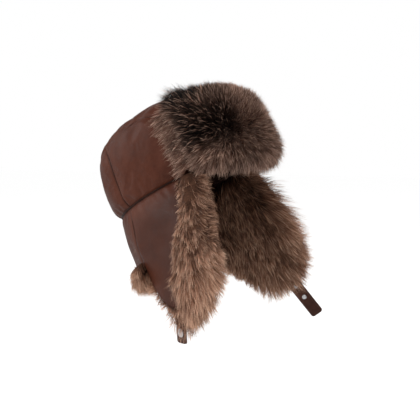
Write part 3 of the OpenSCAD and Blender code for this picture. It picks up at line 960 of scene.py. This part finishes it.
for side, mirror in SIDES:
    rear = np.array([REAR_X, EAR_REAR + 3, 0])
    join = joiner(rear, rear + np.array([6, -36, 0]), mirror)

    f = ear_patch(EAR_FRONT, EAR_REAR + 0.2, -1.5, 0)
    gu, gv, p = sampled(f, 70, 90)
    q = mirror_x(p) if mirror else p
    h, seam = -p[..., 2], (1 - gu) * 110
    # painted shade: darker along the rear seam, and lower down the flap more so towards its front
    shade = 0.6 * ridge(seam, 0, 1.0) * (h < NECK_DEPTH) + (0.25 + 0.3 * (1 - gu)) * smooth(h, 2, 30)
    obj = flap_leather(f"{side}_flap_leather", f, (70, 90), drape(q, h), p[..., 1] + 5 * waves(q, 43, 50),
                       seam, shade, mirror)
    join(obj, "shell_leather", f"{side}_flap_leather")

    f = ear_patch(EAR_FRONT + 6, EAR_REAR - 3, 3, -16)
    gu, gv, p = sampled(f, 24, 24)
    hang = drape(mirror_x(p) if mirror else p, -p[..., 2])
    obj = interlining(f"{side}_flap_interlining", f, (24, 24), hang, mirror)
    join(obj, "interlining", f"{side}_flap_interlining")

    # the fur lining: it lies down under the far flap's front, and is longest at the near flap's free edge
    f = ear_patch(EAR_FRONT - 5, EAR_REAR - 0.5, 1, 5)
    lump = lambda u, v: 7.5 * pillow(u, 6) * pillow(v, 6)
    skin = lambda u, v: f(u, v, PELT_FACE - lump(u, v))
    join(lining_pelt(f"{side}_flap_pelt", f, (60, 60), lump, 51, mirror), "flap_fur", f"{side}_flap_fur")
    rng = np.random.default_rng(61)
    u, v, root, nrm, tu, tv = rooted(skin, FLAP_HAIRS, rng, -1)
    below = smooth(-root[:, 2], NECK_DEPTH - 8, NECK_DEPTH + 14)
    back = (u - 0.45) * 1.6 * below - 0.25 * (u - 0.45) * (1 - below)
    away = np.where(u > 0.45, back, (u - 0.45) * 1.9)[:, None] * tu + (0.4 + 0.8 * v)[:, None] * tv
    edge = np.maximum(smooth(np.abs(u - 0.5), 0.36, 0.5), smooth(v, 0.84, 1.0))
    region = 0.12 + 0.5 * edge + 0.3 * v + 0.12 * waves(root, 66, 45) + 0.08 * rng.normal(size=len(u))
    pressed = (1 - smooth(u, 0.15, 0.62)) if mirror else 0 * u
    fringe = smooth(0.5 - u, 0.2, 0.48) * smooth(v, 0.1, 0.4) * (0 if mirror else 1)
    low = smooth(v, 0.72, 0.98)
    reach = 25 + 4 * edge + 15 * fringe * (1 - low)
    reach = reach + 7 * low * smooth(u, 0.1, 0.25) * (1 - smooth(u, 0.62, 0.72))
    reach = reach - 13 * low * smooth(u, 0.68, 0.82)
    flat = 1 - 0.6 * pressed
    obj = fur(f"{side}_flap_hair", root, nrm, away + 0.8 * GRAVITY * pressed[:, None], reach * flat,
              (0.46 - 0.2 * edge) * flat, np.clip(region, 0, 1), FLAP_FUR, 62, curl=1.6, droop=0.3,
              mirror=mirror, guard_share=0.38, coarse_share=0.12)
    join(obj, "flap_fur")

    # the roll on the outside
    gu, gv, p = sampled(ear_roll, 120, 18)
    bulk = roll_height(gu, gv)
    face = 0.6 + bulk + 0.7 * np.abs(waves(p, 52, 11)) * (bulk > 2)
    obj = layer(f"{side}_roll_pelt", ear_roll, (120, 18), face, 0.5, FLAP_PELT, mirror, flip=True)
    set_even(obj, "region", 0.8)
    join(obj, "flap_fur", f"{side}_flap_fur_trim")
    skin = lambda u, v: ear_roll(u, v, 0.6 + roll_height(u, v))
    u, v, root, nrm, tu, tv = rooted(skin, ROLL_HAIRS, rng, 1)
    edge = smooth(v, 0.4, 0.95)
    swirl = waves(root, 64, 26)[:, None] * unit(tu)
    u, h = u * ROLL_END, -root[:, 2]
    way = unit(tv) * (1.3 * (v - 0.2) - 0.9 * (v < 0.12))[:, None] + GRAVITY * 0.75
    way = way + swirl * (0.25 + 0.45 * edge)[:, None]
    tail, tip = smooth(u, 0.33, 0.46), ridge(u, 0.56, 0.16)
    region = 0.82 - 0.62 * edge * (1 - tail) + 0.15 * tail - 0.3 * smooth(u, 0.52, 0.66)
    region = np.clip(region + 0.12 * waves(root, 65, 40) + 0.08 * rng.normal(size=len(u)), 0, 1)
    length = (13 + 3 * edge + 4 * tail + 11 * tip) * (0.3 + 0.7 * roll_share(u))
    length = length * (1 - 0.4 * smooth(h, 60, 90) * (1 - smooth(h, 112, 130)) * edge)
    obj = fur(f"{side}_roll_hair", root, nrm, way, length, (0.13 + 0.2 * edge) * (1 - 0.6 * tip), region,
              FLAP_FUR, 63, curl=0.9, droop=0.2, mirror=mirror, clump=0.38)
    join(obj, "flap_fur")


def bridge(name, f, mirror, flip):
    """A leather strip that lies behind a flap's seam."""
    obj = layer(name, f, (60, 14), -1.7, -2.2, LEATHER, mirror, flip)
    set_even(obj, "wear", 0.0)
    # painted shade: the strip lies behind the seam, so it is darkened all over
    set_even(obj, "painted_shade", 0.4)
    joiner((0, 0, -1), (0, 0, -11))(obj, "shell_leather")


def ear_seam(u, v, o):
    return ear_at(EAR_FRONT + 2 + (EAR_REAR - EAR_FRONT - 3) * u, 15 * v - 2, o)


for side, mirror in SIDES:
    bridge(f"{side}_flap_seam_strip", ear_seam, mirror, False)


# ---------------- neck flap, in two halves that meet at the back

def neck_patch(top, end):
    start = REAR_ANGLE - 0.004

    def f(u, v, o):
        return neck_at(start + (math.pi / 2 - start) * u, top + (end - top) * v, o)
    return f


for side, mirror in SIDES:
    join = joiner(np.array([REAR_X + 12, 0, 0]), np.array([18.0, 0, 0]), mirror)

    f = neck_patch(-1.5, NECK_DEPTH)
    gu, gv, p = sampled(f, 60, 60)
    h, seam = -p[..., 2], gu * 90
    # painted shade: darker along the side seam and a little darker lower down
    shade = 0.6 * ridge(seam, 0, 1.0) + 0.1 * smooth(h, 2, 40)
    obj = flap_leather(f"{side}_neck_leather", f, (60, 60), drape(p, h) * smooth(p[..., 0], 0, 25),
                       np.arctan2(p[..., 1], p[..., 0]) * MEAN_RADIUS, seam, shade, mirror, flip=True)
    join(obj, "shell_leather", "neck_flap_leather")

    f = neck_patch(3, NECK_DEPTH - 8)
    gu, gv, p = sampled(f, 24, 16)
    hang = drape(p, -p[..., 2]) * smooth(p[..., 0], 0, 25)
    obj = interlining(f"{side}_neck_interlining", f, (24, 16), hang, mirror, flip=True)
    join(obj, "interlining", "neck_flap_interlining")

    f = neck_patch(1, NECK_DEPTH + 5)
    lump = lambda u, v: 7.5 * pillow(v, 6)
    skin = lambda u, v: f(u, v, PELT_FACE - lump(u, v))
    obj = lining_pelt(f"{side}_neck_pelt", f, (50, 40), lump, 53, mirror, flip=True)
    join(obj, "flap_fur", "neck_flap_fur")
    rng = np.random.default_rng(71)
    u, v, root, nrm, tu, tv = rooted(skin, NECK_HAIRS, rng, -1)
    edge, inward = smooth(v, 0.8, 1.0), -brim_normal(root[:, 0], root[:, 1])
    region = np.clip(0.35 + 0.6 * edge + 0.1 * rng.normal(size=len(u)), 0, 1)
    obj = fur(f"{side}_neck_hair", root, nrm, tv + 0.2 * inward, 24 + 4 * edge, 0.5 - 0.2 * edge, region,
              FLAP_FUR, 72, width=0.32, curl=1.4, mirror=mirror)
    join(obj, "flap_fur")

    # the roll at the hem
    hem = neck_patch(NECK_DEPTH - 8, NECK_DEPTH + 7)
    bulk = lambda v: 5.0 * pillow(v, 3)
    gu, gv = grid(50, 10)
    obj = layer(f"{side}_neck_roll_pelt", hem, (50, 10), 0.6 + bulk(gv), 0.5, FLAP_PELT, mirror, flip=True)
    set_even(obj, "region", 0.9)
    join(obj, "flap_fur", "neck_flap_fur_trim")
    skin = lambda u, v: hem(u, v, 0.6 + bulk(v))
    u, v, root, nrm, tu, tv = rooted(skin, NECK_ROLL_HAIRS, rng, 1)
    region = np.clip(0.95 + 0.08 * rng.normal(size=len(u)), 0, 1)
    obj = fur(f"{side}_neck_roll_hair", root, nrm, tv * (2.4 * (v - 0.1))[:, None] + GRAVITY * 0.5,
              12 + 13 * smooth(v, 0.1, 0.8), 0.28, region, FLAP_FUR, 73, curl=0.8, droop=0.2, mirror=mirror)
    join(obj, "flap_fur")

for side, mirror in SIDES:
    bridge(f"{side}_neck_seam_strip", neck_patch(-2, 13), mirror, True)


# ---------------- visor

join = joiner((0, -HALF_L, 0), (0, -HALF_L, 26))
VISOR_GRID = (120, 30)
gu, gv = grid(*VISOR_GRID)
t = FRONT + VISOR_HALF * (2 * gu - 1)
z = 0.5 + (visor_top(t) - 0.5) * gv
o = 0.5 * waves(visor_at(t, z, 4 + 0 * t), 81, 40)
obj = shell("visor_backing", visor_at(t, z, o + 5.6), visor_at(t, z, o + 4.1), *VISOR_GRID, LEATHER,
            flip=True)
set_sheets(obj, "wear", smooth(gv, 0.95, 1), smooth(gv, 0.95, 1))
join(obj, "shell_leather", "visor_backing")

t = FRONT + (VISOR_HALF - 0.05) * (2 * gu - 1)
z = 6 + (visor_top(t) - 12) * gv
obj = shell("visor_stiffener", visor_at(t, z, 0 * t + 8.2), visor_at(t, z, 0 * t + 6.2), *VISOR_GRID, FELT,
            flip=True)
join(obj, "interlining", "visor_stiffener")


def visor_face(u, v, o):
    t = FRONT + (VISOR_HALF + math.radians(1.5)) * (2 * u - 1)
    low = 3 - 15 * np.cos(np.radians(np.minimum(90, 100 * np.abs(2 * u - 1) * 1.025)))
    top = visor_top(FRONT + 0.95 * (t - FRONT)) + 6
    return visor_at(t, low + (top - low) * v, o)


def visor_bulk(u, v):
    return 13 * pillow(u, 5) * pillow(v, 4)


def visor_skin(u, v):
    return visor_face(u, v, 8.8 + visor_bulk(u, v))


gu, gv, p = sampled(visor_face, 140, 50)
bulk = visor_bulk(gu, gv)
face = 8.8 + bulk + np.abs(waves(p, 82, 14)) * (bulk > 3)
obj = layer("visor_pelt", visor_face, (140, 50), face, 8.5, VISOR_PELT, flip=True)
set_even(obj, "region", 0.4)
join(obj, "visor_fur", "visor_fur")

# The hair fans out from the middle, lies back at the ends and has its dark core beside the right end, partly
# the fur's own dark colour and partly painted shade where one looks along the hairs into the fur
for part, seed, low, high in (("left", 91, 0.64, 1), ("right", 92, 0, 0.36), ("middle", 93, 0.36, 0.64)):
    rng = np.random.default_rng(seed)
    piece = lambda u, v: visor_skin(low + (high - low) * u, v)
    u, v, root, nrm, tu, tv = rooted(piece, int(VISOR_HAIRS * (high - low)), rng, 1)
    u = low + (high - low) * u
    du, dv = 2 * u - 1, 2 * (v - 0.42)
    angle = np.degrees(VISOR_HALF) * du
    wide = np.abs(angle)
    ends, rim, top = smooth(wide, 47, 53), smooth(wide, 55, 59), smooth(v, 0.68, 0.95)
    away = tu * (du ** 3 * 2.2 + 0.3 * du + 1.6 * np.sign(du) * ends)[:, None]
    away = away + tv * (dv ** 3 * 1.6 + 0.5 * dv)[:, None] * (1 - 0.6 * ends)[:, None]
    away = away - nrm * (0.5 * ends)[:, None]
    fan = np.linalg.norm(away, axis=1)
    lift = np.clip(0.92 - 0.42 * fan, 0.3, 0.9) * (1 - 0.8 * ends + 0.12 * rim)
    # painted shade in part: the dark core is partly the fur's own colour
    dark = np.exp(-((angle + 37) / 17.5) ** 4) * smooth(v, 0.16, 0.36)
    region = 0.5 - 0.5 * dark + 0.5 * ends + 0.16 * (1 - smooth(v, 0.0, 0.35)) + 0.1 * waves(root, 94, 35)
    region = region + 0.09 * rng.normal(size=len(u)) + 0.5 * (rng.random(len(u)) < 0.05)
    length = 20 - 7 * ends + 13 * rim + 5 * (1 - smooth(v, 0.05, 0.3)) * (1 - ends)
    length = length + top * (9 * ridge(wide, 46, 8) * (1 - rim) - 8 * ridge(angle, 0, 32))
    obj = fur(f"visor_hair_{part}", root, nrm, away + 1e-3 * tv, length, lift, np.clip(region, 0, 1),
              VISOR_FUR, seed + 10, droop=0.1, bend=0.5, clump=0.5, coarse_share=0.12)
    join(obj, "visor_fur")

# A strip of leather that joins the visor's backing to the crown
HINGE_H = 5.0  # height of the strip's seam on the crown
gu, gv = grid(120, 8)
t = FRONT + VISOR_HALF * (2 * gu - 1)


def hinge_strip(o):
    k = tuck(HINGE_H)
    seat = np.stack([(HALF_W * k + o) * np.cos(t), (HALF_L * k + o) * np.sin(t), HINGE_H + 0 * t], -1)
    base = visor_at(t, 1.2 + 0 * t, 5.0 + o + 0 * t)
    sag = np.stack([0 * t, 0 * t, -2.2 * np.sin(math.pi * gv) - 0.7 * o], -1)
    return seat * (1 - gv[..., None]) + base * gv[..., None] + sag


obj = shell("visor_hinge_strip", hinge_strip(0.5), hinge_strip(-0.7), 120, 8, LEATHER, flip=True)
set_even(obj, "wear", 0.0)
join(obj, "shell_leather")


# ---------------- straps

STRAP_WIDTH, STRAP_CORNER, STRAP_TOP = 19.0, 4.0, 17.0  # STRAP_TOP is how far it reaches above its hinge
PLY_BACK, PLY_FACE = 0.05, 1.35  # offsets of each ply's two faces from the strap's middle
STITCH_IN = 2.2  # distance of the stitching from the strap's long edges


def strap_frame(side):
    """The strap's hinge and the directions outwards, down and across it, in the hat's frame."""
    j = joints[f"{side}_strap_swing"]
    if side == "left":
        a, b = mounts["left_snap_stud_upper"], mounts["left_snap_stud_lower"]
        out = -np.array(a["axis"])
        down = unit(np.array(b["pos_m"]) - np.array(a["pos_m"]))
    else:
        a = mounts["right_snap_socket"]
        out = -np.array(a["axis"])
        down = np.array(a["pos_m"]) - np.array(j["pos_m"])
        down = unit(down - out * (down @ out))
    out = unit(out - down * (out @ down))
    out, down = unit(hat(out)), unit(hat(down))
    return hat(np.array(j["pos_m"])), out, down, np.cross(out, down)


def strap_outline(length, half):
    """Half-widths down a strap with a rounded end: rows of (distance down, half width)."""
    rows = [(s, half) for s in np.linspace(-STRAP_TOP, length - STRAP_CORNER, 40)]
    r = STRAP_CORNER
    return np.array(rows + [(length - r + r * math.sin(a), half - r + r * math.cos(a))
                            for a in np.linspace(0.16, math.pi / 2, 10)])


for side, length in (("left", 68.0), ("right", 30.0)):
    hinge, out, down, across = strap_frame(side)
    half_width = STRAP_WIDTH / 2
    join = joiner(hinge - 5 * down, hinge + 6 * down)
    rows = strap_outline(length, half_width)
    nv = 14
    for ply, sign in (("outer", 1), ("inner", -1)):
        gu, gv = np.meshgrid(np.arange(len(rows)), np.linspace(-1, 1, nv + 1), indexing="ij")
        s, half = rows[gu, 0], rows[gu, 1]
        y = gv * half
        edge = np.maximum(np.minimum(half_width - np.abs(y), length - s), 0)
        worn_in = 0.45 * np.exp(-edge / 0.7) + 0.22 * ridge(np.abs(y), half_width - STITCH_IN, 0.5)
        base = hinge + s[..., None] * down + y[..., None] * across
        soft = 0.12 * waves(base, 101, 16)
        face = base + (sign * (PLY_FACE - worn_in) + soft)[..., None] * out
        back = base + (sign * PLY_BACK + soft * 0.5)[..., None] * out
        obj = shell(f"{side}_strap_{ply}", face, back, len(rows) - 1, nv, STRAP_LEATHER,
                    flip=(sign > 0) == (side == "left"))
        wear = ridge(edge, 0, 1.2)
        set_sheets(obj, "wear", wear, wear)
        nodes = [f"{side}_strap_{ply}_ply"] + ([f"{side}_strap_anchor"] if ply == "outer" else [])
        join(obj, "strap_leather", *nodes)
    paths = []
    for face in (1, -1):
        over, end = face * 1.2 * out, np.linspace(-(half_width - 2.6), half_width - 2.6, 12)
        run = hinge + np.linspace(-10, length - 2.4, 60)[:, None] * down
        rims = [run + edge * (half_width - STITCH_IN) * across + over for edge in (-1, 1)]
        rims.append(hinge + (length - 2.4) * down + end[:, None] * across + over)
        paths += [(pts, np.tile(face * out, (len(pts), 1))) for pts in rims]
    join(stitches(f"{side}_strap_stitching", paths, SEAM_THREAD, pitch=3.0, length=2.1, r=0.26, lift=0.0),
         "strap_leather")

recolour(METAL, "left_snap_studs", "left_snap_posts", "right_snap_socket", "right_snap_cap")


# ---------------- floor, light and camera

WHITE = (1, 1, 1, 1)

sweep = Nodes("studio_white")
sweep_light = sweep.math("MULTIPLY", sweep.add("ShaderNodeLightPath").outputs["Is Camera Ray"], 0.6)
stage = add_mesh("studio_floor", [(-9, -9, 0), (9, -9, 0), (9, 9, 0), (-9, 9, 0)], np.array([[0, 1, 2, 3]]),
                 sweep.done(srgb("#f7f7f7"), 0.9, Emission_Color=WHITE, Emission_Strength=sweep_light), False)
stage.location = (0, 0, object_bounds()[0][2] - 0.12)
stage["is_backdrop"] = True

world_data = bpy.data.worlds.new("studio")
bpy.context.scene.world = world_data
world_data.use_nodes = True
backdrop = world_data.node_tree.nodes["Background"]
seen = world_data.node_tree.nodes.new("ShaderNodeLightPath").outputs["Is Camera Ray"]
level = world_data.node_tree.nodes.new("ShaderNodeMapRange")
level.inputs["To Min"].default_value = 0.42
level.inputs["To Max"].default_value = 1.0
world_data.node_tree.links.new(seen, level.inputs["Value"])
world_data.node_tree.links.new(level.outputs["Result"], backdrop.inputs["Strength"])
backdrop.inputs["Color"].default_value = WHITE


def area(name, place, size, power):
    """A soft square light that points at the frame's origin."""
    light = bpy.data.lights.new(name, "AREA")
    light.shape = "SQUARE"
    light.size = size
    light.energy = power
    obj = bpy.data.objects.new(name, light)
    obj.location = place
    obj.rotation_euler = (-Vector(place)).to_track_quat("-Z", "Y").to_euler()
    bpy.context.scene.collection.objects.link(obj)


area("key", (-1.5, -0.7, 1.3), 0.8, 15)
area("fill", (0.9, -1.5, 0.5), 1.2, 6)
area("rim", (-0.8, 1.5, 0.8), 0.8, 13)

AZ, EL, DIST = math.radians(-60), math.radians(3), 1.05
PICTURE, MM_PER_PIXEL = 420, 1.39
ORIGIN_X, ORIGIN_Y = 186.8, 188.5  # the pixel where the frame's origin shows
camera = bpy.data.cameras.new("camera")
camera.sensor_width = 36
camera.lens = 36 * (1000 * DIST / MM_PER_PIXEL) / PICTURE
camera.shift_x = (PICTURE / 2 - ORIGIN_X) / PICTURE
camera.shift_y = -(PICTURE / 2 - ORIGIN_Y) / PICTURE
cam = bpy.data.objects.new("camera", camera)
cam.location = (math.sin(AZ) * math.cos(EL) * DIST, -math.cos(AZ) * math.cos(EL) * DIST, math.sin(EL) * DIST)
cam.rotation_euler = (-Vector(cam.location)).to_track_quat("-Z", "Y").to_euler()
bpy.context.scene.collection.objects.link(cam)
bpy.context.scene.camera = cam
bpy.context.scene.view_settings.view_transform = "Standard"

boxes = {"cad": CAD_BOX, "visual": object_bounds()}
boxes = {k: [list(map(float, corner)) for corner in box] for k, box in boxes.items()}
